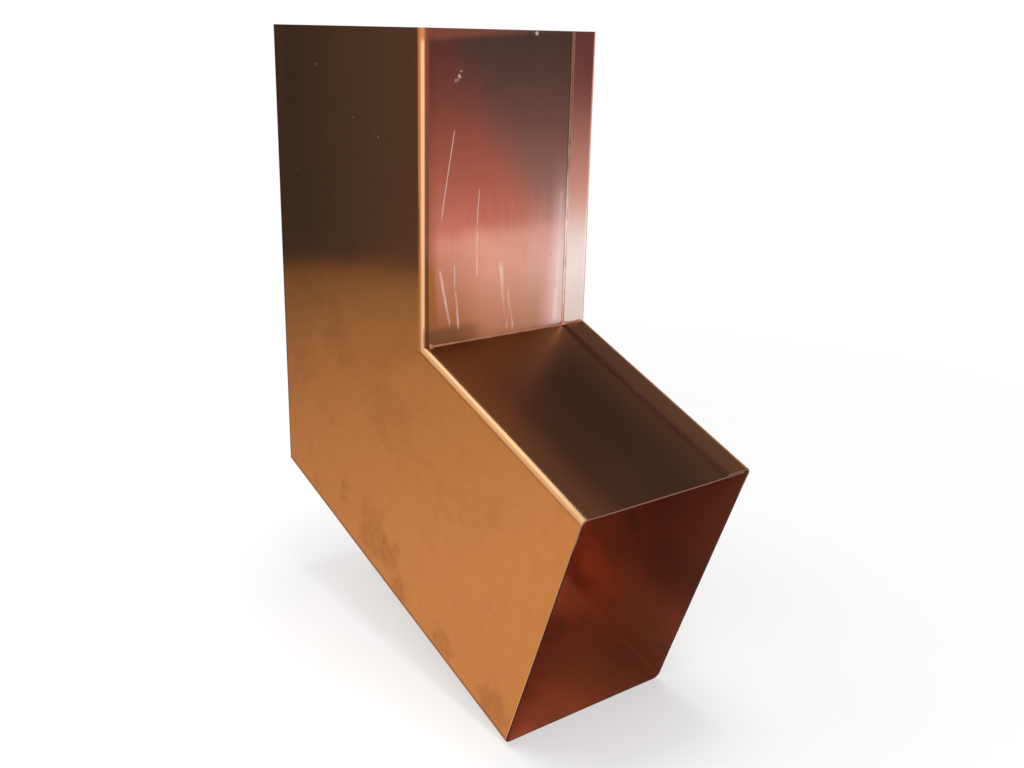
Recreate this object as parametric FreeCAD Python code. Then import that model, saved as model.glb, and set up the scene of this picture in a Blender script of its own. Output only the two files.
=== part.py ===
"""Rectangular copper downspout elbow: two folded legs, mitred and soldered. Millimetres, +Z up.

The origin is the centre of the inlet's rim. +X is the way the elbow kicks out and +Y is across its width.
Each leg is one sheet folded into a tube. Its last fold lies over the outside of its first panel as a lap.
"""
import FreeCAD, Part
import math
import os

Vector = FreeCAD.Vector

# Driving dimensions
pipe_width = 50.8            # across the two side faces
pipe_depth = 76.2            # front panel to back panel of the inlet leg
outlet_depth = 72.0          # top panel to bottom panel at the outlet, drawn in to enter the next pipe
inlet_length = 73.2          # rim to throat, along the front panel
outlet_length = 64.5         # throat to outlet, along the top panel
bend_angle = 70.0            # degrees that the flow turns away from straight down
sheet = 0.55                 # copper thickness
fold_radius = 1.3            # inside radius of every fold
lap_width = 7.5              # from the far side face to the lap's cut edge
lap_gap = 0.1                # solder film under the lap
panel_clearance = 0.2        # from the lapped panel's edge to the start of the lap's fold
lap_bead = 0.5               # width of the solder line along the lap's edge
lap_bead_height = 0.3        # its height on the cut edge, above the film
throat_bead = 0.6            # leg of the throat's solder bead
mitre_bead = 0.4             # thickness of the solder run inside the mitre
mitre_bead_reach = 3.0       # how far that run spreads along each leg, square to the mitre

# Values that follow from them
outer_radius = fold_radius + sheet
half_width = pipe_width / 2
turn = math.radians(bend_angle)
half_turn = turn / 2
lap_edge = half_width - lap_width
panel_edge = half_width - outer_radius - panel_clearance
across = Vector(0, 1, 0)
throat = Vector(pipe_depth / 2, 0, -inlet_length)
outlet_run = Vector(math.sin(turn), 0, -math.cos(turn))
outlet_rise = Vector(math.cos(turn), 0, math.sin(turn))
mitre_up = Vector(math.cos(half_turn), 0, math.sin(half_turn))
mitre_normal = Vector(math.sin(half_turn), 0, -math.cos(half_turn))
heel_drop = pipe_depth * math.tan(half_turn)
heel = Vector(-pipe_depth / 2, 0, -inlet_length - heel_drop)
outlet_sill = throat + outlet_run * outlet_length - outlet_rise * outlet_depth
bottom_run = (outlet_sill - heel).normalize()
bottom_outward = bottom_run.cross(across) * -1
lap_rise = lap_gap + sheet
overrun = max(pipe_depth, outlet_depth) + lap_rise + outer_radius  # drawn past, to be trimmed
far_reach = 2 * (inlet_length + outlet_length + pipe_depth + pipe_width)


class Station:
    """A place along a panel: a point on its outer face and the way out of it."""

    def __init__(self, face, outward):
        self.face = face
        self.outward = outward

    def point(self, out, side):
        return self.face + self.outward * out + across * side


def inlet_stations(face_x, outward):
    """Rim, and a place past the heel, on the panel at face_x."""
    past_heel = inlet_length + heel_drop + overrun
    return [
        Station(Vector(face_x, 0, 0), outward),
        Station(Vector(face_x, 0, -past_heel), outward),
    ]


inlet_front = inlet_stations(pipe_depth / 2, Vector(1, 0, 0))
inlet_back = inlet_stations(-pipe_depth / 2, Vector(-1, 0, 0))
outlet_top = [
    Station(throat + outlet_run * outlet_length, outlet_rise),
    Station(throat - outlet_run * (heel_drop + overrun), outlet_rise),
]
outlet_bottom = [
    Station(outlet_sill + bottom_run * overrun, bottom_outward),
    Station(heel - bottom_run * overrun, bottom_outward),
]


def outline(station, steps):
    """Closed wire through (out, side) points. A step with a third entry is an arc about that centre."""
    edges = []
    here = steps[0]
    for step in steps[1:] + steps[:1]:
        start = station.point(here[0], here[1])
        end = station.point(step[0], step[1])
        if len(step) == 3:
            centre = station.point(*step[2])
            middle = (start + end) * 0.5 - centre
            middle.normalize()
            bow = centre + middle * (end - centre).Length
            edges.append(Part.Arc(start, bow, end).toShape())
        else:
            edges.append(Part.LineSegment(start, end).toShape())
        here = step
    return Part.Wire(edges)


def plain_section(station, inset, radius):
    """A panel and both side faces taken in by inset, with the two folds between them."""
    face = -inset
    side = half_width - inset
    return outline(station, [
        (-overrun, -side),
        (-overrun, side),
        (face - radius, side),
        (face, side - radius, (face - radius, side - radius)),
        (face, radius - side),
        (face - radius, -side, (face - radius, radius - side)),
    ])


def lapped_outside(station):
    """Outside of a lapped panel and both side faces: the far side is folded over the panel."""
    near_fold = (-outer_radius, outer_radius - half_width)
    lap_fold = (lap_rise - outer_radius, half_width - outer_radius)
    return outline(station, [
        (-overrun, -half_width),
        (-overrun, half_width),
        (lap_fold[0], half_width),
        (lap_rise, lap_fold[1], lap_fold),
        (lap_rise, lap_edge),
        (0, lap_edge),
        (0, near_fold[1]),
        (near_fold[0], -half_width, near_fold),
    ])


def lapped_inside(station):
    """Inside of the same sheet, with the film between panel and lap and the gap at the panel's edge."""
    side = half_width - sheet
    near_fold = (-outer_radius, outer_radius - half_width)
    lap_fold = (lap_gap - fold_radius, half_width - outer_radius)
    return outline(station, [
        (-overrun, -side),
        (-overrun, side),
        (lap_fold[0], side),
        (lap_gap, lap_fold[1], lap_fold),
        (lap_gap, lap_edge),
        (0, lap_edge),
        (0, panel_edge),
        (-sheet, panel_edge),
        (-sheet, near_fold[1]),
        (near_fold[0], -side, near_fold),
    ])


def lap_solder_section(station):
    """Solder film under the lap, with the line that shows along the lap's cut edge."""
    return outline(station, [
        (0, lap_edge - lap_bead),
        (0, panel_edge),
        (lap_gap, panel_edge),
        (lap_gap, lap_edge),
        (lap_gap + lap_bead_height, lap_edge),
    ])


def along(stations, section, *sizes):
    """Solid that follows a section from station to station, with straight lines between."""
    return Part.makeLoft([section(station, *sizes) for station in stations], True, True)


def folded_tube(throat_side, heel_side):
    """One sheet folded into a tube, lapped on its throat-side panel."""
    outside = along(throat_side, lapped_outside).common(along(heel_side, plain_section, 0, outer_radius))
    inside = along(throat_side, lapped_inside).common(along(heel_side, plain_section, sheet, fold_radius))
    return outside.cut(inside)


def bore(throat_side, heel_side, inset):
    """The tube's inside, taken in by inset."""
    wall = sheet + inset
    upper = along(throat_side, plain_section, wall, fold_radius)
    return upper.common(along(heel_side, plain_section, wall, fold_radius))


def mitre_slab(start, end):
    """Block between two planes that lie start and end past the mitre, towards the outlet."""
    corners = [
        throat + mitre_normal * start + mitre_up * far_reach,
        throat + mitre_normal * start - mitre_up * far_reach,
        throat + mitre_normal * end - mitre_up * far_reach,
        throat + mitre_normal * end + mitre_up * far_reach,
    ]
    corners = [corner - across * far_reach for corner in corners]
    face = Part.Face(Part.makePolygon(corners + corners[:1]))
    return face.extrude(across * (2 * far_reach))


def inlet_side(shape):
    return shape.common(mitre_slab(-far_reach, 0))


def outlet_side(shape):
    return shape.common(mitre_slab(0, far_reach))


def throat_prism(lift, leg, start, end):
    """Bead in the throat's corner, on faces that stand lift proud of the panels, from start to end across."""
    corner = throat + Vector(lift, 0, lift * math.tan(half_turn)) + across * start
    up = corner + Vector(0, 0, leg)
    out = corner + outlet_run * leg
    face = Part.Face(Part.makePolygon([corner, up, out, corner]))
    return face.extrude(across * (end - start))


def make_throat_solder(lap_solders):
    """Thin bead on the panels and on the laps, with a small pool at the step between them."""
    pool_leg = throat_bead + 2 * lap_rise / math.sin(turn)
    pool_start = lap_edge - lap_bead
    bead = throat_prism(0, throat_bead, outer_radius - half_width, lap_edge)
    bead = bead.fuse(throat_prism(0, pool_leg, pool_start, lap_edge))
    bead = bead.fuse(throat_prism(lap_rise, throat_bead, lap_edge, half_width - outer_radius))
    for solder in lap_solders:
        bead = bead.cut(solder)
    return bead.removeSplitter()


def make_mitre_solder():
    """Run of solder inside the joint, all round, on both legs."""
    halves = []
    for throat_side, heel_side, slab in (
        (inlet_front, inlet_back, mitre_slab(-mitre_bead_reach, 0)),
        (outlet_top, outlet_bottom, mitre_slab(0, mitre_bead_reach)),
    ):
        run = bore(throat_side, heel_side, 0).cut(bore(throat_side, heel_side, mitre_bead))
        halves.append(run.common(slab))
    return halves[0].fuse(halves[1]).removeSplitter()


def build():
    inlet_lap_solder = inlet_side(along(inlet_front, lap_solder_section))
    outlet_lap_solder = outlet_side(along(outlet_top, lap_solder_section))
    return {
        "inlet_leg": inlet_side(folded_tube(inlet_front, inlet_back)),
        "outlet_leg": outlet_side(folded_tube(outlet_top, outlet_bottom)),
        "inlet_lap_solder": inlet_lap_solder,
        "outlet_lap_solder": outlet_lap_solder,
        "throat_solder": make_throat_solder([inlet_lap_solder, outlet_lap_solder]),
        "mitre_solder": make_mitre_solder(),
    }


os.makedirs("parts", exist_ok=True)
for node, shape in build().items():
    shape.exportStep("parts/" + node + ".step")
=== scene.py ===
"""Looks of the copper downspout elbow: folded sheets, solder, finishes, studio and camera. Metres, +Z up."""
import bmesh
import bpy
import math
from mathutils import Matrix, Vector, noise


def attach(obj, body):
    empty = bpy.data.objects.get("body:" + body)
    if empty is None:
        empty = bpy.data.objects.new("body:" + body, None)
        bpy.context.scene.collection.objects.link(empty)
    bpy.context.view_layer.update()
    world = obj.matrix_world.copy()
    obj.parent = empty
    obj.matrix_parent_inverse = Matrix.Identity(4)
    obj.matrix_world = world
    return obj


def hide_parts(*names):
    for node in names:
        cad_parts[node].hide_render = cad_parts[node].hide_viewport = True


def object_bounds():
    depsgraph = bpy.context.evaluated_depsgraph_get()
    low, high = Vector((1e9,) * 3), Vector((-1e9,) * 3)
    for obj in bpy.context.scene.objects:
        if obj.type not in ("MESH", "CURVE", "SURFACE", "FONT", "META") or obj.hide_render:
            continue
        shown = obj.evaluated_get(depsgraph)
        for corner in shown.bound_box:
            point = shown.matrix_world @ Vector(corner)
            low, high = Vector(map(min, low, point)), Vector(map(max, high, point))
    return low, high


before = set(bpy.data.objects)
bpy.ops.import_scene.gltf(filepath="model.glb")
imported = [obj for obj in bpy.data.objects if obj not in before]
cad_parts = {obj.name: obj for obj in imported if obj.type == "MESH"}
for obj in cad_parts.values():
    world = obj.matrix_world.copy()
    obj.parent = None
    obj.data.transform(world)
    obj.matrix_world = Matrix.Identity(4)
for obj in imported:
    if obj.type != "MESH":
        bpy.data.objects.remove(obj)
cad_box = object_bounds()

MM = 0.001

# Sizes of the elbow, the same as in its solids
half_width = 25.4 * MM
pipe_depth = 76.2 * MM
outlet_depth = 72.0 * MM
inlet_length = 73.2 * MM
outlet_length = 64.5 * MM
turn = math.radians(70)
sheet = 0.55 * MM
outer_radius = 1.85 * MM
lap_width = 7.5 * MM
lap_gap = 0.1 * MM
panel_edge = half_width - outer_radius - 0.2 * MM
lap_bead = 0.5 * MM
throat_bead = 0.6 * MM

# Finer sizes that only the looks need
edge_break = 0.07 * MM        # how far the sheet's cut edges are eased
fold_steps = 10               # flats in each rounded fold
support = 0.35 * MM           # narrow strip beside each fold that keeps the panel's shading flat
panel_step = 2.4 * MM         # spacing of the mesh on the panels
dish = 0.16 * MM              # how far the hand-folded panels lie inside of true, at most
broad_hollow = 46 * MM        # size of a panel's broad hollows
small_hollow = 16 * MM        # size of the small ones on them
fold_hold = 7 * MM            # from a fold to where a hollow has its full depth
mitre_hold = 10 * MM          # the same from the mitre

# Lines of the bend
lap_rise = lap_gap + sheet
lap_edge = half_width - lap_width
across = Vector((0, 1, 0))
throat = Vector((pipe_depth / 2, 0, -inlet_length))
outlet_run = Vector((math.sin(turn), 0, -math.cos(turn)))
outlet_rise = Vector((math.cos(turn), 0, math.sin(turn)))
mitre_normal = Vector((math.sin(turn / 2), 0, -math.cos(turn / 2)))
heel = throat - Vector((pipe_depth, 0, pipe_depth * math.tan(turn / 2)))
outlet_sill = throat + outlet_run * outlet_length - outlet_rise * outlet_depth
bottom_run = (outlet_sill - heel).normalized()
bottom_outward = across.cross(bottom_run)


def smooth(value, low, high):
    """Eased ramp from 0 at low to 1 at high."""
    share = min(max((value - low) / (high - low), 0.0), 1.0)
    return share * share * (3 - 2 * share)


def spread(start, end, step):
    """Even places from start to end, both included, about step apart."""
    count = max(1, round(abs(end - start) / step))
    return [start + (end - start) * i / count for i in range(count + 1)]


def meet(point, direction, plane_point, plane_normal):
    """Where a line through point meets a plane."""
    return point + direction * ((plane_point - point).dot(plane_normal) / direction.dot(plane_normal))


class Leg:
    """The lines that one leg's sheet is drawn on, from its open end to the mitre."""

    def __init__(self, end_point, end_normal, throat_run, throat_out, heel_run, heel_out):
        self.end_point = end_point
        self.end_normal = end_normal
        self.throat_run = throat_run
        self.throat_out = throat_out
        self.heel_run = heel_run
        self.heel_out = heel_out

    def throat_line(self, out, side):
        return self._line(throat + self.throat_out * out + across * side, self.throat_run)

    def heel_line(self, out, side):
        return self._line(heel + self.heel_out * out + across * side, self.heel_run)

    def _line(self, point, run):
        return (meet(point, run, self.end_point, self.end_normal), meet(point, run, throat, mitre_normal))


inlet = Leg(Vector((0, 0, 0)), Vector((0, 0, 1)), Vector((0, 0, -1)), Vector((1, 0, 0)),
            Vector((0, 0, -1)), Vector((-1, 0, 0)))
outlet = Leg(throat + outlet_run * outlet_length, outlet_run, outlet_run, outlet_rise,
             bottom_run, bottom_outward)


class Strand:
    """One lengthwise line of the sheet's outer face, with the way out of the sheet there."""

    def __init__(self, line, normal, inward=0.0, cut=False):
        self.start, self.end = line
        self.normal = normal
        self.inward = inward        # distance from the nearest fold, or 0 on a fold
        self.cut = cut              # True on a lengthwise cut edge


def sheet_strands(leg):
    """Strands round the folded sheet: lap, far side, heel panel, near side and lapped panel."""
    strands = []
    lift = lap_rise - outer_radius
    fold_side = half_width - outer_radius

    def panel_places(start, end):
        way = 1 if end > start else -1
        return [start] + spread(start + way * support, end - way * support, panel_step) + [end]

    def fold(line, outward, centre_out, side_sign, towards_side):
        for step in range(1, fold_steps):
            angle = math.pi / 2 * step / fold_steps
            if not towards_side:
                angle = math.pi / 2 - angle
            normal = outward * math.cos(angle) + across * side_sign * math.sin(angle)
            out = centre_out + outer_radius * math.cos(angle)
            side = side_sign * (fold_side + outer_radius * math.sin(angle))
            strands.append(Strand(line(out, side), normal))

    def side_face(side_sign, from_throat, throat_out):
        upper = leg.throat_line(throat_out, side_sign * half_width)
        lower = leg.heel_line(-outer_radius, side_sign * half_width)
        reach = (upper[1] - lower[1]).length
        shares = [place / reach for place in panel_places(0.0, reach)]
        for share in shares if from_throat else reversed(shares):
            line = (upper[0].lerp(lower[0], share), upper[1].lerp(lower[1], share))
            strands.append(Strand(line, across * side_sign, min(share, 1 - share) * reach))

    for side in [lap_edge, lap_edge + edge_break] + panel_places(lap_edge + support, fold_side):
        strands.append(Strand(leg.throat_line(lap_rise, side), leg.throat_out, cut=side == lap_edge))
    fold(leg.throat_line, leg.throat_out, lift, 1, True)
    side_face(1, True, lift)
    fold(leg.heel_line, leg.heel_out, -outer_radius, 1, False)
    for side in panel_places(fold_side, -fold_side):
        strands.append(Strand(leg.heel_line(0.0, side), leg.heel_out, fold_side - abs(side)))
    fold(leg.heel_line, leg.heel_out, -outer_radius, -1, True)
    side_face(-1, False, -outer_radius)
    fold(leg.throat_line, leg.throat_out, -outer_radius, -1, False)
    for side in panel_places(-fold_side, panel_edge):
        inward = min(side + fold_side, lap_edge - side)
        strands.append(Strand(leg.throat_line(0.0, side), leg.throat_out, inward, side == panel_edge))
    return strands


def hollow(place, normal):
    """How far a hand-folded panel lies inside of true at a place, never outside."""
    seed = normal * 3.7
    broad = noise.noise(place / broad_hollow + seed)
    fine = noise.noise(place / small_hollow + seed * 2)
    return dish * smooth(0.45 + 0.6 * broad + 0.13 * fine, -0.2, 1.1)


def make_sheet(name, strands, finishes):
    """One folded sheet that follows the strands, closed all round, with eased cut edges."""
    near_end = [0.0, edge_break, 0.5 * MM, 1.5 * MM]    # rows close behind the open end
    longest = max((strand.end - strand.start).length for strand in strands)
    rest = round(longest / panel_step)
    outer_rows = []
    inner_rows = []
    for row in range(len(near_end) + rest):
        outer = []
        inner = []
        for strand in strands:
            length = (strand.end - strand.start).length
            if row < len(near_end):
                gone = near_end[row]
            else:
                gone = near_end[-1] + (length - near_end[-1]) * (row - len(near_end) + 1) / rest
            place = strand.start.lerp(strand.end, gone / length)
            fade = smooth(strand.inward, 0.0, fold_hold) * smooth(length - gone, 0.0, mitre_hold)
            place = place - strand.normal * hollow(place, strand.normal) * fade
            ease = edge_break if row == 0 or strand.cut else 0.0
            outer.append(place - strand.normal * ease)
            inner.append(place - strand.normal * (sheet - ease))
        outer_rows.append(outer)
        inner_rows.append(inner)
    return closed_sheet(name, outer_rows, inner_rows, finishes)


def closed_sheet(name, outer_rows, inner_rows, finishes):
    """Mesh between an outer and an inner grid. The finishes are for outside, inside and cut edges."""
    rows = len(outer_rows)
    columns = len(outer_rows[0])
    points = [point for grid in (outer_rows, inner_rows) for line in grid for point in line]

    def at(skin, row, column):
        return (skin * rows + row) * columns + column

    outside = []
    inside = []
    edges = []
    for row in range(rows - 1):
        for column in range(columns - 1):
            corners = ((row, column), (row, column + 1), (row + 1, column + 1), (row + 1, column))
            outside.append([at(0, *corner) for corner in corners])
            inside.append([at(1, *corner) for corner in reversed(corners)])
        for column in (0, columns - 1):
            corners = ((0, row), (1, row), (1, row + 1), (0, row + 1))
            outside.append([at(skin, line, column) for skin, line in corners])
    for column in range(columns - 1):
        for row in (0, rows - 1):
            corners = ((0, column), (1, column), (1, column + 1), (0, column + 1))
            edges.append([at(skin, row, line) for skin, line in corners])
    piece = mesh_piece(name, points, outside + inside + edges, finishes)
    used = [0] * len(outside) + [1] * len(inside) + [2] * len(edges)
    piece.data.polygons.foreach_set("material_index", used)
    return piece


def mesh_piece(name, points, faces, finishes, sharp_angle=35):
    """Object facing outward, smooth but for its sharp edges."""
    mesh = bpy.data.meshes.new(name)
    mesh.from_pydata(points, [], faces)
    work = bmesh.new()
    work.from_mesh(mesh)
    bmesh.ops.recalc_face_normals(work, faces=work.faces)
    work.to_mesh(mesh)
    work.free()
    mesh.shade_smooth()
    mesh.set_sharp_from_angle(angle=math.radians(sharp_angle))
    for finish in finishes:
        mesh.materials.append(finish)
    piece = bpy.data.objects.new(name, mesh)
    bpy.context.scene.collection.objects.link(piece)
    return piece


def loop_piece(name, rows, finish):
    """Closed mesh through rows of points that each go once round a bead."""
    count = len(rows[0])
    points = [point for row in rows for point in row]
    faces = [list(range(count)), list(range(len(points) - count, len(points)))]
    for row in range(len(rows) - 1):
        for i in range(count):
            j = (i + 1) % count
            faces.append([row * count + i, row * count + j, (row + 1) * count + j, (row + 1) * count + i])
    return mesh_piece(name, points, faces, [finish], sharp_angle=60)


def make_lap_solder(name, leg, finish):
    """Film under the lap, drawn up in a slightly uneven fillet along the lap's cut edge."""
    rows = []
    start, end = leg.throat_line(0.0, lap_edge)
    length = (end - start).length
    reach = panel_edge - lap_edge
    for gone in spread(0.0, length, 0.6 * MM):
        place = start.lerp(end, gone / length)
        swell = noise.noise(place / (7 * MM)) * 0.6 + noise.noise(place / (2 * MM)) * 0.15
        width = lap_bead * (0.55 + 0.35 * swell)
        height = lap_gap + sheet * (0.93 + 0.06 * swell)
        profile = [(0.0, -width), (0.0, reach), (lap_gap, reach), (lap_gap, 0.0),
                   (height, 0.0), (height * 0.62, -0.3 * width), (height * 0.28, -0.62 * width)]
        rows.append([place + leg.throat_out * out + across * side for out, side in profile])
    return loop_piece(name, rows, finish)


def make_throat_bead(finish):
    """Thin, uneven bead in the throat, with a drop at its near end."""
    rows = []
    near_end = outer_radius - half_width
    for side in spread(near_end, half_width - outer_radius, 0.3 * MM):
        on_lap = smooth(side, lap_edge - 0.6 * MM, lap_edge + 0.1 * MM)
        in_drop = 1 - smooth(side - near_end, 0.5 * MM, 1.5 * MM)
        swell = noise.noise(Vector((side / (3.1 * MM), 0.4, 0))) * 0.25
        swell += noise.noise(Vector((side / (0.9 * MM), 5.4, 0))) * (0.12 + 0.2 * on_lap)
        leg_length = throat_bead * (0.40 + 0.9 * swell + 0.15 * on_lap + 1.0 * in_drop)
        lift = lap_rise * on_lap
        corner = throat + Vector((lift, 0, lift * math.tan(turn / 2))) + across * side
        up = corner + Vector((0, 0, leg_length))
        out = corner + outlet_run * leg_length
        middle = (up + out) / 2
        bulge = middle + (middle - corner) * (0.1 + 0.5 * in_drop)
        rows.append([corner, up, up.lerp(bulge, 0.55), bulge, out.lerp(bulge, 0.55), out])
    return loop_piece("throat_bead", rows, finish)


class Value:
    """A socket of a finish. Arithmetic on it adds Math nodes."""

    def __init__(self, finish, socket):
        self.finish = finish
        self.socket = socket

    def math(self, operation, *others):
        return self.finish.node("ShaderNodeMath", {"operation": operation}, [self, *others])

    def __add__(self, other):
        return self.math("ADD", other)

    __radd__ = __add__

    def __mul__(self, other):
        return self.math("MULTIPLY", other)

    __rmul__ = __mul__

    def __sub__(self, other):
        return self.math("SUBTRACT", other)

    def __rsub__(self, other):
        return self.finish.node("ShaderNodeMath", {"operation": "SUBTRACT"}, [other, self])

    def __truediv__(self, other):
        return self.math("DIVIDE", other)

    def __pow__(self, other):
        return self.math("POWER", other)

    def __abs__(self):
        return self.math("ABSOLUTE")

    def clamped(self):
        return self.math("MINIMUM", 1.0).math("MAXIMUM", 0.0)


class Finish:
    """A material, or the room around the set, that is put together from nodes."""

    def __init__(self, name, kind="materials"):
        self.material = getattr(bpy.data, kind).new(name)
        self.material.use_nodes = True
        self.tree = self.material.node_tree
        self.tree.nodes.clear()

    def node(self, kind, settings=None, sockets=(), output=0):
        """Adds a node: its settings first, then the values or links of its sockets. Returns one output."""
        node = self.tree.nodes.new(kind)
        for key, setting in (settings or {}).items():
            setattr(node, key, setting)
        pairs = sockets.items() if isinstance(sockets, dict) else enumerate(sockets)
        for key, value in pairs:
            if isinstance(value, Value):
                self.tree.links.new(value.socket, node.inputs[key])
            else:
                node.inputs[key].default_value = value
        return Value(self, node.outputs[output]) if len(node.outputs) else None

    def place(self):
        """Millimetres along X, Y and Z of the part's own frame."""
        spot = self.node("ShaderNodeTexCoord", output="Object")
        return [self.node("ShaderNodeSeparateXYZ", sockets=[spot], output=i) * (1 / MM) for i in range(3)]

    def facing(self):
        """The surface's own outward direction."""
        normal = self.node("ShaderNodeNewGeometry", output="Normal")
        return [self.node("ShaderNodeSeparateXYZ", sockets=[normal], output=i) for i in range(3)]

    def ray(self, kind):
        """1 for rays of one kind, and 0 for all others."""
        return self.node("ShaderNodeLightPath", output=kind)

    def ramp(self, value, low, high):
        """Eased ramp from 0 at low to 1 at high."""
        return self.node("ShaderNodeMapRange", {"interpolation_type": "SMOOTHSTEP"},
                         {"Value": value, "From Min": low, "From Max": high})

    def cloud(self, place, size, detail=3.0, stretch=(1, 1, 1), offset=0.0):
        """Cloudy pattern from 0 to 1, with patches of about size millimetres."""
        parts = [axis * (1 / (size * factor)) + offset for axis, factor in zip(place, stretch)]
        vector = self.node("ShaderNodeCombineXYZ", sockets=parts)
        return self.node("ShaderNodeTexNoise", sockets={"Vector": vector, "Scale": 1.0, "Detail": detail,
                                                        "Roughness": 0.55})

    def mix(self, share, first, second):
        """Colour between two colours."""
        return self.node("ShaderNodeMix", {"data_type": "RGBA"}, {0: share, 6: first, 7: second}, output=2)

    def line(self, u, v, start, end, width):
        """1 on a straight mark between two points of a face, and 0 beside it."""
        run = (end[0] - start[0], end[1] - start[1])
        length = math.hypot(*run)
        unit = (run[0] / length, run[1] / length)
        du, dv = u - start[0], v - start[1]
        gone = du * unit[0] + dv * unit[1]
        off = abs(du * unit[1] - dv * unit[0])
        within = self.ramp(gone, -0.4, 1.2) * (1 - self.ramp(gone, length - 1.8, length + 0.4))
        return (1 - self.ramp(off, 0.35 * width, width)) * within

    def spot(self, u, v, centre, size):
        """1 in the middle of a round mark on a face, fading to 0 at its rim."""
        off = ((u - centre[0]) ** 2.0 + (v - centre[1]) ** 2.0) ** 0.5
        return 1 - self.ramp(off, 0.3 * size, size)

    def done(self, shader):
        self.node("ShaderNodeOutputMaterial", sockets={"Surface": shader})
        return self.material


def colour(red, green, blue):
    """Opaque colour."""
    return (red, green, blue, 1.0)


orange_copper = colour(0.60, 0.225, 0.066)
brown_copper = colour(0.40, 0.140, 0.045)
dark_front_reflection = colour(0.46, 0.255, 0.205)
tawny_copper = colour(0.70, 0.325, 0.150)
dark_top_reflection = colour(0.335, 0.150, 0.076)
glowing_copper = colour(0.96, 0.39, 0.15)
red_copper = colour(0.70, 0.225, 0.165)
peach_copper = colour(0.84, 0.385, 0.275)
pink_copper = colour(0.84, 0.47, 0.43)
pale_copper = colour(0.94, 0.71, 0.67)
rim_reflection_copper = colour(0.74, 0.245, 0.13)
wear_and_highlight_copper = colour(0.90, 0.57, 0.32)
bare_metal = colour(0.98, 0.73, 0.66)
burnt_flux = colour(0.24, 0.095, 0.045)
heel_shade_colour = colour(0.080, 0.055, 0.042)
copper_glance = colour(0.88, 0.70, 0.60)      # tint of the metal at a flat glance
lap_red = colour(0.82, 0.29, 0.24)
lap_rose = colour(0.99, 0.53, 0.41)
lap_white = colour(0.99, 0.84, 0.79)
lap_cut_brown = colour(0.40, 0.21, 0.18)
lap_cut_pale = colour(0.95, 0.78, 0.72)
lap_cut_dark = colour(0.060, 0.026, 0.018)
inside_red = colour(0.84, 0.190, 0.080)
inside_brown = colour(0.36, 0.110, 0.052)
inside_green = colour(0.14, 0.105, 0.050)
inside_shade = colour(0.085, 0.020, 0.008)
sill_brown = colour(0.16, 0.055, 0.030)
crease_shade_brown = colour(0.060, 0.018, 0.009)
cut_dark = colour(0.030, 0.012, 0.008)
cut_brown = colour(0.060, 0.025, 0.015)
cut_highlight = colour(0.34, 0.165, 0.12)
throat_tint = colour(0.64, 0.27, 0.16)
brown_tint = colour(0.058, 0.022, 0.012)
lap_line_upper = colour(0.30, 0.145, 0.125)
lap_line_lower = colour(0.98, 0.82, 0.77)
mitre_upper = colour(0.34, 0.15, 0.075)
mitre_lower = colour(0.24, 0.105, 0.06)

# Marks on the front panel, with a painted reflection among the streaks, as (across, up) in millimetres
front_scratches = [
    ((-16.5, -22.3), (-20.2, -43.3), 0.18),
    ((-9.2, -36.0), (-9.9, -46.0), 0.15),
    ((13.7, -49.8), (13.3, -55.1), 0.24),
    ((-16.2, -53.6), (-16.1, -60.0), 0.24),
]
front_streaks_and_glints = [
    ((-2.6, -54.5), (0.0, -72.5), 0.8),
    ((-0.6, -60.0), (1.6, -72.5), 0.5),
    ((-20.5, -54.6), (-17.5, -69.2), 0.5),
    ((-15.9, -60.0), (-15.0, -70.1), 0.4),
    ((-9.7, -46.0), (-9.6, -58.3), 0.35),
    # The last two streaks are a painted reflection of the lap's bright edge
    ((16.0, -38.0), (15.4, -72.0), 0.7),
    ((15.0, -63.0), (14.6, -72.0), 0.5),
]
front_flakes = [((-15.2, -10.3), 0.8), ((-16.1, -11.4), 0.7), ((-14.8, -9.4), 0.5), ((-2.2, -55.1), 0.9)]
rim_nick = ((6.7, -0.7), 0.7)
# Marks on the near side, as (along, up)
side_specks = [(-13.0, -9.5), (6.1, -21.5), (18.3, -25.3), (-25.2, -37.5)]
side_blotches = [
    ((12.3, -131.4), 11.0),
    ((20.7, -134.9), 7.0),
    ((-2.6, -124.9), 5.0),
    ((25.8, -143.2), 5.0),
    ((46.2, -148.3), 6.0),
    ((69.0, -155.5), 8.0),
]


def total(parts):
    """Sum of a list of values."""
    return sum(parts[1:], parts[0])


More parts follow.
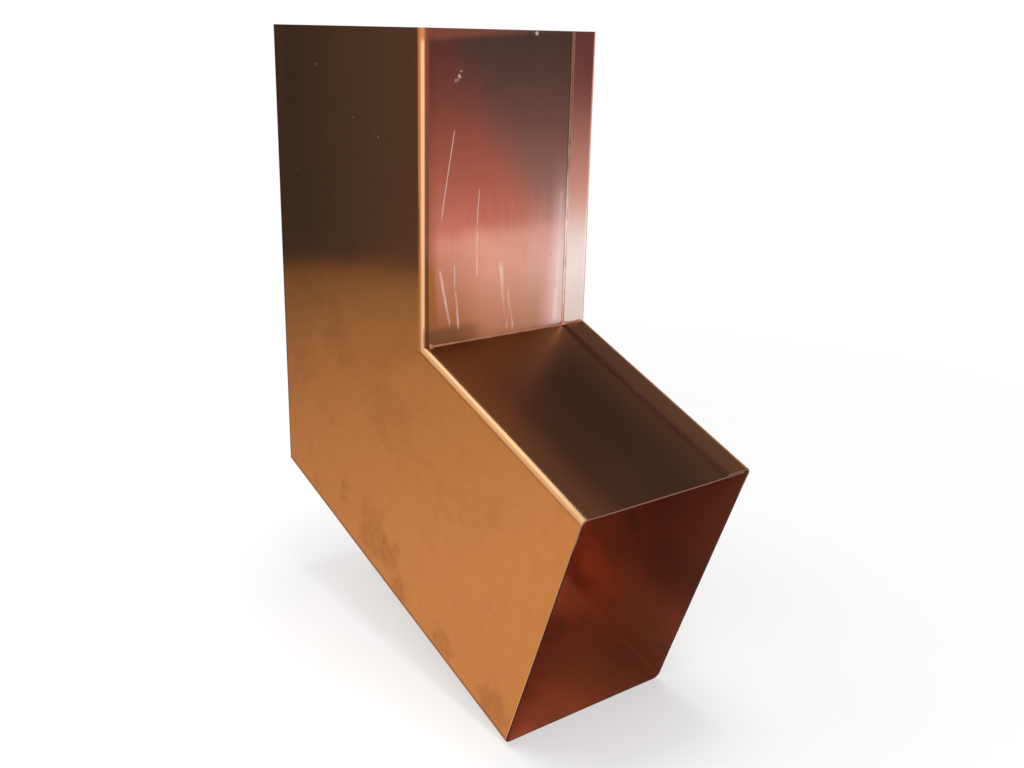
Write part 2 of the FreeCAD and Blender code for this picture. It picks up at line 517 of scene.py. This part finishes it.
def make_copper():
    """Bright copper sheet: orange on the sides, red to pink on the front, with painted reflection in the
    tones of the front and top.
    """
    finish = Finish("copper_sheet")
    x, y, z = place = finish.place()
    nx, ny, nz = finish.facing()
    side = abs(ny)
    near = finish.ramp(0 - ny, 0.90, 0.97)
    front = finish.ramp(nx, 0.55, 0.9) * finish.ramp(x, 36.4, 37.2) * finish.ramp(z, -75.2, -73.4)
    top = finish.ramp(nz, 0.6, 0.85)
    lap = finish.ramp(y, lap_edge / MM - 0.05, lap_edge / MM + 0.05) * front
    rim = 1 - finish.ramp(0 - z + 0.07 * (y + 24.0), 1.6, 3.6)

    # The sides are orange with brown stains and, low on the near side, ragged blotches
    stain = finish.ramp(finish.cloud(place, 30, detail=4, offset=4.3), 0.50, 0.72)
    grain = finish.cloud(place, 4, detail=5, offset=1.7)
    sandy = finish.cloud(place, 0.8, detail=3, offset=5.9)
    mottle = stain * 0.35 + (grain - 0.45) * 0.6 + (sandy - 0.5) * 0.5
    tone = finish.mix(mottle.clamped(), orange_copper, brown_copper)
    ragged_x = x + (finish.cloud(place, 6, offset=2.4) - 0.5) * 14.0
    ragged_z = z + (finish.cloud(place, 6, offset=7.1) - 0.5) * 14.0
    blotch = total([finish.spot(ragged_x, ragged_z, centre, size) for centre, size in side_blotches]) * near
    flecks = finish.ramp(finish.cloud(place, 2.2, detail=2, offset=6.2), 0.05, 0.75)
    tone = finish.mix((blotch * flecks * 0.68).clamped(), tone, brown_copper)
    specks = total([finish.spot(x, z, centre, 0.35) for centre in side_specks]) * near

    # The top carries painted reflection: dark, and brighter beside its near fold, along its far edge and by
    # the throat
    flat_top = finish.ramp(nz, 0.86, 0.91)
    beside_fold = (1 - finish.ramp(y, -12.0, 2.0)) * 0.15 + (1 - finish.ramp(y, -25.0, -11.0)) * 0.75
    by_throat = (1 - finish.ramp(x + 0.35 * y, 40.0, 60.0)) * 0.78
    top_tone = finish.mix(finish.ramp(y, 6.0, 24.0), dark_top_reflection, tawny_copper)
    top_tone = finish.mix(beside_fold, top_tone, glowing_copper)
    tone = finish.mix(top, tone, finish.mix(by_throat, top_tone, tawny_copper))

    # The front's tone is painted reflection on the copper: dark at the top, red across its middle, peach and
    # pink lower down and pale low on the far side
    below = 0 - z - 1.4 * y - 36.0
    low = finish.ramp(0 - z, 24.0, 56.0)
    lower = finish.ramp(0 - z, 34.0, 56.0)
    far_side = finish.ramp(y, -4.0, 15.0)
    streaky_cloud = finish.cloud(place, 1.4, detail=4, stretch=(1, 1, 11), offset=3.3)
    patchy_cloud = finish.cloud(place, 15, stretch=(1, 0.6, 2.4), offset=9.4)
    uneven = (patchy_cloud - 0.5) * 14.0
    front_tone = finish.mix(finish.ramp(below + uneven, -20.0, 6.0), dark_front_reflection, red_copper)
    peach_reflection = finish.ramp(uneven * 0.3 - z, 43.5, 49.0) * (0.3 + 0.7 * finish.ramp(y, -26.0, -6.0))
    front_tone = finish.mix(peach_reflection, front_tone, peach_copper)
    pink_share = (lower * far_side + (streaky_cloud - 0.45) * low * 0.9).clamped()
    front_tone = finish.mix(pink_share, front_tone, pink_copper)
    front_tone = finish.mix(low * finish.ramp(y, 11.5, 16.5) * 0.9, front_tone, pale_copper)
    # The lap strip is painted from red to rose to white downwards, as reflection
    lap_tone = finish.mix(finish.ramp(0 - z, 8.0, 34.0), lap_red, lap_rose)
    lap_tone = finish.mix(finish.ramp(0 - z, 34.0, 54.0), lap_tone, lap_white)
    front_tone = finish.mix(lap, front_tone, lap_tone)
    # Painted reflection: a red band under the rim, fading towards the far side
    front_tone = finish.mix(rim * (1 - finish.ramp(y, -8.0, 16.0)) * 0.7, front_tone, rim_reflection_copper)
    # Painted shade and reflection: darker towards the throat, low on the near side and in a strip beside the
    # near fold
    painted_front_shade = finish.ramp(0 - z, 48.0, 73.0) * (1 - 0.6 * finish.ramp(y, 8.0, 14.0)) * 0.66
    painted_front_shade = painted_front_shade + finish.ramp(0 - z, 47.0, 56.0) * (1 - finish.ramp(y, -18.0, -3.0)) * 0.28
    painted_front_shade = painted_front_shade + (1 - finish.ramp(y, -23.2, -20.6)) * (0.2 + 0.4 * low)
    front_tone = finish.mix(painted_front_shade.clamped(), front_tone, brown_copper)
    tone = finish.mix(front, tone, front_tone)

    # Folds are painted pale, partly as wear and partly as highlight, but not just under the rim, and painted
    # shade lies beside the near side's heel folds
    upward = finish.ramp(nz, 0.05, 0.25)
    upright_wear_and_highlight = finish.ramp(side, 0.50, 0.64) * (1 - finish.ramp(side, 0.80, 0.92))
    sloping_wear_and_highlight = finish.ramp(side, 0.06, 0.16) * (1 - finish.ramp(side, 0.86, 0.99))
    fold = (upright_wear_and_highlight + upward * (sloping_wear_and_highlight - upright_wear_and_highlight)) * (1 - rim)
    tone = finish.mix(fold * 0.9, tone, wear_and_highlight_copper)
    from_back = x + 0.5 * pipe_depth / MM
    from_bottom = 0 - (x - heel.x / MM) * bottom_outward.x - (z - heel.z / MM) * bottom_outward.z
    painted_heel_shade = (1 - finish.ramp(from_back.math("MINIMUM", from_bottom), 1.8, 2.3)) * near
    tone = finish.mix(painted_heel_shade * 0.6, tone, heel_shade_colour)
    from_mitre = abs((x - throat.x / MM) * mitre_normal.x + (z - throat.z / MM) * mitre_normal.z)
    seam = (1 - finish.ramp(from_mitre, 0.05, 0.20)) * finish.ramp(side, 0.9, 0.97)
    tone = finish.mix(seam * 0.16, tone, burnt_flux)
    # The lap's cut edge is brown, with a painted highlight lower down, and dark where it faces upward
    lap_cut = finish.ramp(y, 10.0, 12.0) * finish.ramp(0 - ny, 0.25, 0.45)
    lap_cut_tone = finish.mix(low, lap_cut_brown, lap_cut_pale)
    lap_cut_tone = finish.mix(upward, lap_cut_tone, lap_cut_dark)
    tone = finish.mix(lap_cut, tone, lap_cut_tone)

    # Scratches, streaks, flakes and burnt flux on the front, and a painted reflection of the lap's edge
    # among the streaks
    scratched = total([finish.line(y, z, *mark) for mark in front_scratches])
    streaks_and_glints = total([finish.line(y, z, *mark) for mark in front_streaks_and_glints])
    flakes = total([finish.spot(y, z, *mark) for mark in front_flakes]) * finish.ramp(sandy, 0.38, 0.60)
    flux = finish.ramp(0 - z, 67.6, 70.2) * (1 - finish.ramp(y + (patchy_cloud - 0.5) * 10.0, -17.0, -5.0))
    tone = finish.mix((flux * front * 0.85).clamped(), tone, burnt_flux)
    streaks_and_glints = streaks_and_glints * front * finish.ramp(streaky_cloud, 0.36, 0.60)
    tone = finish.mix((streaks_and_glints * 0.5).clamped(), tone, bare_metal)
    marks = ((scratched + flakes + finish.spot(y, z, *rim_nick)) * front + specks * 0.3).clamped()
    tone = finish.mix(marks * 0.85, tone, bare_metal)

    smears = finish.cloud(place, 20, detail=5, stretch=(1, 1, 2.2), offset=8.1)
    rough = 0.12 + front * 0.09 + top * 0.10 + flat_top * 0.11 + rim * front * 0.15
    rough = rough + marks * 0.20 + painted_heel_shade * 0.15 + (smears - 0.5) * 0.10 + (grain - 0.5) * 0.05
    peel = finish.cloud(place, 9, detail=2, offset=2.9)
    bump = finish.node("ShaderNodeBump", sockets={"Strength": 0.35, "Distance": 0.05 * MM,
                                                  "Height": peel * 0.6 - marks * 0.5 + grain * 0.05})
    shader = finish.node("ShaderNodeBsdfPrincipled", sockets={
        "Base Color": tone, "Metallic": 1 - marks * 0.6, "Roughness": rough,
        "Specular Tint": copper_glance, "Normal": bump})
    return finish.done(shader)


def make_inside_copper():
    """Inside of the sheet, dull and dark red, with flux and water stains, and painted shade towards the far
    side and in the creases.
    """
    finish = Finish("copper_inside")
    x, y, z = place = finish.place()
    side = abs(finish.facing()[1])
    stain = finish.ramp(finish.cloud(place, 26, detail=4, offset=7.7), 0.40, 0.68)
    tone = finish.mix(stain * 0.8, inside_red, inside_brown)
    green = finish.ramp(finish.cloud(place, 14, detail=3, offset=3.1), 0.58, 0.74)
    tone = finish.mix(green * 0.6, tone, inside_green)
    shaded = finish.ramp(x, 26.0, 76.0) * finish.ramp(y, -22.0, 20.0)
    shaded = shaded * (0.80 + 0.20 * finish.ramp(z, -150.0, -130.0))
    tone = finish.mix(shaded * 0.92, tone, inside_shade)
    tone = finish.mix(finish.ramp(0 - z, 138.0, 158.0) * 0.25, tone, sill_brown)
    # Painted shade along the inside's creases
    crease = finish.ramp(side, 0.15, 0.45) * (1 - finish.ramp(side, 0.75, 0.98))
    tone = finish.mix(crease * 0.28, tone, crease_shade_brown)
    grain = finish.cloud(place, 5, detail=4, offset=5.5)
    bump = finish.node("ShaderNodeBump", sockets={"Strength": 0.4, "Distance": 0.06 * MM, "Height": grain})
    shader = finish.node("ShaderNodeBsdfPrincipled", sockets={
        "Base Color": tone, "Metallic": 0.12, "Roughness": 0.66 + (grain - 0.5) * 0.2,
        "Specular IOR Level": 0.2, "Normal": bump})
    return finish.done(shader)


def make_cut_edge():
    """Cut end of the sheet, painted dark brown as shade, with a painted highlight along the outlet's upper
    edge.
    """
    finish = Finish("cut_edge")
    place = finish.place()
    z = place[2]
    patches = finish.cloud(place, 3, detail=3, offset=1.2)
    upper_edge_highlight = finish.ramp(z, -104.0, -100.0) * finish.ramp(0 - z, 60.0, 70.0)
    tone = finish.mix(finish.ramp(patches, 0.35, 0.65), cut_dark, cut_brown)
    tone = finish.mix(upper_edge_highlight * 0.8, tone, cut_highlight)
    shader = finish.node("ShaderNodeBsdfPrincipled", sockets={
        "Base Color": tone, "Metallic": 0.0, "Roughness": 0.70 + (patches - 0.5) * 0.2,
        "Specular IOR Level": 0.05})
    return finish.done(shader)


def make_solder(name, upper, lower, roughness, metallic=1.0):
    """Thin solder, tinged by the copper under it and by flux, from its upper tint to its lower one."""
    finish = Finish(name)
    place = finish.place()
    z = place[2]
    patches = finish.cloud(place, 4, detail=3)
    tone = finish.mix(finish.ramp(0 - z + (patches - 0.5) * 20.0, 15.0, 50.0), upper, lower)
    tone = finish.mix(finish.ramp(patches, 0.5, 0.8) * 0.35, tone, burnt_flux)
    bump = finish.node("ShaderNodeBump", sockets={"Strength": 0.4, "Distance": 0.05 * MM,
                                                  "Height": finish.cloud(place, 0.9)})
    shader = finish.node("ShaderNodeBsdfPrincipled", sockets={
        "Base Color": tone, "Metallic": metallic, "Roughness": roughness + (patches - 0.5) * 0.15,
        "Normal": bump})
    return finish.done(shader)


sheet_finishes = [make_copper(), make_inside_copper(), make_cut_edge()]
# The lap line's solder goes from dark to near white downwards, a painted reflection like the front's
lap_line = make_solder("lap_line_solder", lap_line_upper, lap_line_lower, 0.30)
throat_line = make_solder("throat_line_solder", throat_tint, throat_tint, 0.50, 0.4)
tinged_solder = make_solder("tinged_solder", brown_tint, brown_tint, 0.65, 0.3)
inner_solder = make_solder("inner_solder", mitre_upper, mitre_lower, 0.45)
mitre_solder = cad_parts["mitre_solder"]
mitre_solder.data.materials.clear()
mitre_solder.data.materials.append(inner_solder)

pieces = [
    (make_sheet("inlet_sheet", sheet_strands(inlet), sheet_finishes), "inlet_leg", "copper"),
    (make_sheet("outlet_sheet", sheet_strands(outlet), sheet_finishes), "outlet_leg", "copper"),
    (make_lap_solder("inlet_lap_bead", inlet, lap_line), "inlet_lap_solder", "solder"),
    (make_lap_solder("outlet_lap_bead", outlet, tinged_solder), "outlet_lap_solder", "solder"),
    (make_throat_bead(throat_line), "throat_solder", "solder"),
]
for piece, node, slot in pieces:
    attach(piece, "root")
    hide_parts(node)


# Studio: white floor, soft lamps for it, and cards that only mirror in the metal
floor_level = cad_box[0][2] - 0.3 * MM
middle = Vector((0.03, 0.0, -0.08))


def stage_piece(name, points, faces, finish):
    """Part of the set, not of the elbow."""
    mesh = bpy.data.meshes.new(name)
    mesh.from_pydata(points, [], faces)
    mesh.materials.append(finish)
    piece = bpy.data.objects.new(name, mesh)
    bpy.context.scene.collection.objects.link(piece)
    return piece


def make_floor():
    """White paper that keeps the elbow's shadow and turns to plain white away from it."""
    finish = Finish("white_floor")
    x, y, z = finish.place()
    seen = finish.ray("Is Camera Ray")
    mirrored = finish.ray("Is Glossy Ray")
    through = finish.ray("Is Transmission Ray")
    lowest = 0.10 + 0.25 * finish.ramp(y, 0.0, 60.0)
    level = (0.94 + 0.0017 * x).math("MINIMUM", 0.94).math("MAXIMUM", lowest)
    # Dim in the metal: behind and beneath the elbow, and ahead of its upright fold
    behind = finish.ramp(0 - x, 30.0, 70.0) * finish.ramp(y, -24.0, -8.0)
    beneath = finish.ramp(x, -70.0, -40.0) * (1 - finish.ramp(x, 70.0, 90.0))
    beneath = beneath * (1 - finish.ramp(abs(y), 18.0, 26.0))
    slope = (y + 25.0) / (x - 38.0)
    ahead = finish.ramp(slope, -0.62, -0.42) * (1 - finish.ramp(slope, 0.40, 0.56))
    ahead = ahead * finish.ramp(x, 70.0, 120.0)
    level = level * (1 - behind * 0.45) * (1 - beneath * 0.88) * (1 - ahead * 0.62)
    # Brighter in the metal at the far right, where the front panel mirrors it
    distance = ((x - 30.0) ** 2.0 + y ** 2.0) ** 0.5
    right_end = finish.ramp(x, 60.0, 160.0) * finish.ramp(y, 60.0, 160.0)
    level = level * (1 + right_end * (finish.ramp(distance, 340.0, 620.0) * 0.40 - 0.08))
    grey = finish.node("ShaderNodeCombineColor", sockets=[level, level, level])
    glow = finish.mix(mirrored, colour(1, 1, 1), grey)
    far = 0.5 + 0.5 * finish.ramp(distance, 130.0, 420.0)
    share = (far * (seen + through) + 0.9 * mirrored).clamped()
    paper = finish.node("ShaderNodeBsdfDiffuse", sockets={"Color": colour(0.92, 0.92, 0.92)})
    light = finish.node("ShaderNodeEmission", sockets={"Color": glow, "Strength": 1.0})
    return finish.done(finish.node("ShaderNodeMixShader", sockets={0: share, 1: paper, 2: light}))


def card(name, points, faces, low, high=None, axis=0, start=0.0, end=1.0):
    """Glowing card that only mirrors in the metal, from a low to a high tint along one axis in mm."""
    finish = Finish(name)
    tint = low
    if high:
        tint = finish.mix(finish.ramp(finish.place()[axis], start, end), low, high)
    light = finish.node("ShaderNodeEmission", sockets={"Color": tint, "Strength": 1.0})
    piece = stage_piece(name, points, faces, finish.done(light))
    piece.visible_camera = False
    piece.visible_diffuse = False
    piece.visible_shadow = False
    return piece


def standing_card(name, start, end, height, *tints):
    """Upright card on the floor between two places."""
    top = floor_level + height
    points = [(*start, floor_level), (*end, floor_level), (*end, top), (*start, top)]
    return card(name, points, [[0, 1, 2, 3]], *tints)


def around(azimuth, radius):
    """Place on a ring about the elbow, counted from -Y towards +X."""
    angle = math.radians(azimuth)
    return (radius * math.sin(angle), -radius * math.cos(angle))


def towards(azimuth, elevation, distance):
    """Place at a distance from the elbow's middle, along a direction."""
    lift = math.radians(elevation)
    flat = around(azimuth, math.cos(lift))
    return middle + Vector((*flat, math.sin(lift))) * distance


def sky_card(name, corners, distance, tint):
    """Card overhead whose corners lie at these azimuths and elevations."""
    return card(name, [towards(*corner, distance) for corner in corners], [[0, 1, 2, 3]], tint)


def make_tent(radius, tint):
    """Dim tent over the whole set."""
    turns = 32
    bands = 8
    points = []
    faces = []
    for band in range(bands + 1):
        lift = math.pi / 2 * band / bands
        for i in range(turns):
            flat = around(360 * i / turns, radius * math.cos(lift))
            points.append((*flat, floor_level + radius * math.sin(lift)))
    for band in range(bands):
        low = band * turns
        high = low + turns
        for i in range(turns):
            j = (i + 1) % turns
            faces.append([low + i, low + j, high + j, high + i])
    return card("dim_tent", points, faces, tint)


def softbox(name, place, size, power):
    """Soft lamp that lights the floor and stays out of the metal."""
    lamp = bpy.data.lights.new(name, "AREA")
    lamp.shape = "RECTANGLE"
    lamp.size, lamp.size_y = size
    lamp.energy = power
    holder = bpy.data.objects.new(name, lamp)
    holder.location = place
    holder.rotation_euler = (middle - Vector(place)).to_track_quat("-Z", "Y").to_euler()
    holder.visible_glossy = False
    bpy.context.scene.collection.objects.link(holder)


floor_size = 6.0
floor_corners = [(x * floor_size, y * floor_size, floor_level)
                 for x, y in ((-1, -1), (1, -1), (1, 1), (-1, 1))]
stage_piece("white_floor", floor_corners, [[0, 1, 2, 3]], make_floor())
make_tent(1.8, colour(0.064, 0.064, 0.100))
standing_card("dark_card", (-0.66, -0.115), (-0.33, -0.33), 0.55,
              colour(0.042, 0.072, 0.145), colour(0.150, 0.175, 0.29), 0, -520.0, -350.0)
standing_card("dim_card", around(-48, 0.95), around(-12, 0.75), 0.40, colour(0.82, 0.74, 0.68))
standing_card("window_card", around(-12, 0.75), around(60, 0.75), 0.60, colour(1.12, 1.08, 1.04))
standing_card("shade_card", around(60, 0.75), (0.66, 0.27), 0.50, colour(0.36, 0.30, 0.27))
standing_card("right_card", (0.66, 0.27), (0.30, 0.85), 0.75,
              colour(0.62, 0.46, 0.43), colour(0.105, 0.100, 0.110), 2, -150.0, -25.0)
standing_card("back_card", (0.30, 0.85), around(215, 0.9), 0.45, colour(0.80, 0.80, 0.84))
standing_card("left_back_card", around(228, 0.95), around(283, 0.95), 0.50, colour(0.55, 0.52, 0.50))
sky_card("front_sky_card", [(0, 40), (72, 40), (76, 76), (0, 76)], 1.1, colour(0.50, 0.47, 0.44))
sky_card("left_sky_card", [(-60, 18), (-12, 18), (-10, 46), (-66, 46)], 0.95, colour(0.85, 0.76, 0.68))
sky_card("high_sky_card", [(-66, 46), (-10, 46), (-60, 84), (-110, 70)], 0.95, colour(1.40, 1.32, 1.20))
sky_card("right_sky_card", [(125, 30), (165, 30), (170, 66), (105, 66)], 1.1, colour(0.34, 0.43, 0.50))
sky_card("back_sky_card", [(172, 20), (238, 20), (232, 40), (176, 40)], 1.2, colour(0.16, 0.145, 0.16))
softbox("key_softbox", (0.55, -0.75, 0.45), (0.8, 0.7), 4.0)
softbox("left_softbox", (-0.40, -0.45, 0.62), (0.5, 0.5), 2.5)
softbox("top_softbox", (0.15, -0.05, 0.95), (0.6, 0.6), 3.6)
softbox("inlet_softbox", (0.02, 0.0, 0.70), (0.25, 0.25), 2.0)


def make_world():
    """White room to the eye and in the metal, that lights the set only softly."""
    room = Finish("white_room", "worlds")
    shown = room.ray("Is Camera Ray") + room.ray("Is Glossy Ray") + room.ray("Is Transmission Ray")
    level = 0.35 + 0.65 * shown.clamped()
    sky = room.node("ShaderNodeBackground", sockets={"Color": colour(1, 1, 1), "Strength": level})
    room.node("ShaderNodeOutputWorld", sockets={"Surface": sky})
    bpy.context.scene.world = room.material


def make_camera():
    """Camera at the photograph's viewing angle."""
    azimuth = math.radians(52.759)
    elevation = math.radians(17.62)
    roll = math.radians(1.384)
    eye = Vector((254.76, -162.93, -0.38)) * MM
    back = Vector((math.sin(azimuth) * math.cos(elevation), -math.cos(azimuth) * math.cos(elevation),
                   math.sin(elevation)))
    level_right = Vector((math.cos(azimuth), math.sin(azimuth), 0))
    level_up = back.cross(level_right)
    right = level_right * math.cos(roll) + level_up * math.sin(roll)
    up = level_up * math.cos(roll) - level_right * math.sin(roll)
    lens = bpy.data.cameras.new("camera")
    lens.sensor_width = 36.0
    lens.lens = 39.022
    lens.clip_start = 0.005
    camera = bpy.data.objects.new("camera", lens)
    camera.matrix_world = Matrix.Translation(eye) @ Matrix((right, up, back)).transposed().to_4x4()
    bpy.context.scene.collection.objects.link(camera)
    bpy.context.scene.camera = camera


make_world()
make_camera()
bpy.context.scene.view_settings.view_transform = "Standard"
